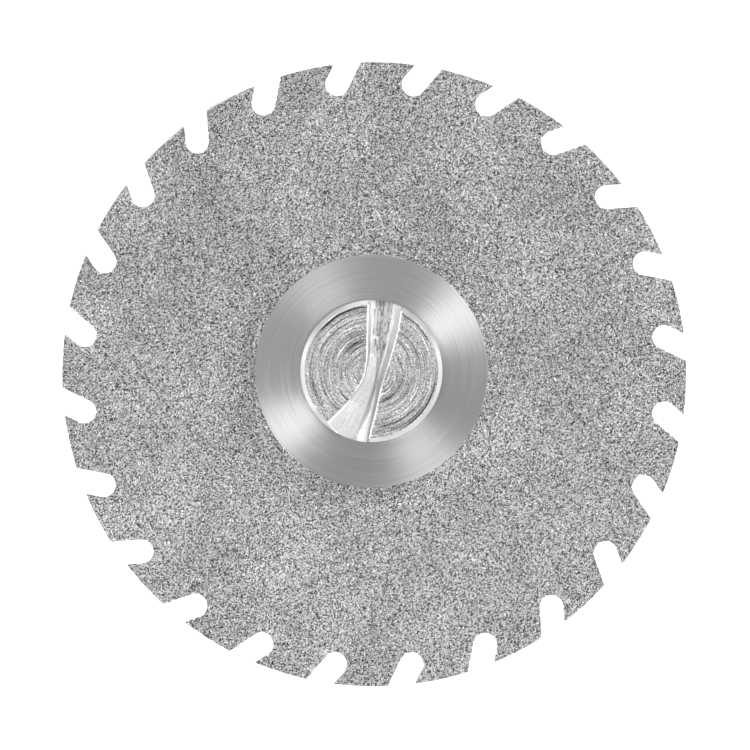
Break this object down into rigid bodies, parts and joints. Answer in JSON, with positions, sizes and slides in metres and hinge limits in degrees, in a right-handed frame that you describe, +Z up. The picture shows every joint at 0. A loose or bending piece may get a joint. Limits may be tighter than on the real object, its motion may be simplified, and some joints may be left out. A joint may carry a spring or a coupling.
{
  "type": "serrated diamond cutting disc on a mandrel",
  "caption": "Thin round diamond-coated cutting disc with slanted gullets in its rim, clamped by a slotted screw and a turned ring on a straight handpiece mandrel.",
  "frame": {"origin": "bottom centre of the part's box, on the surface that it lies on", "axes": "+Z up; +Y from the disc back along the shank, the longest side; the front face looks along -Y and a little up; +X is to the right seen from the front"},
  "size_m": [0.022, 0.0448, 0.0215],
  "materials": {
    "diamond_grit": "spring steel covered with diamond grit in nickel plating: rough, grey, finely sparkling",
    "turned_steel": "stainless steel, face-turned to fine concentric grooves with a silky sheen",
    "screw_steel": "stainless steel, coarsely turned face with irregular concentric marks, bright chamfer and worn slot",
    "ground_steel": "stainless steel, turned flange and neck, ground shank"
  },
  "bodies": {
    "root": {"diamond_blade": "diamond_grit", "clamp_ring": "turned_steel", "clamp_screw": "screw_steel", "mandrel": "ground_steel"}
  },
  "joints": []
}
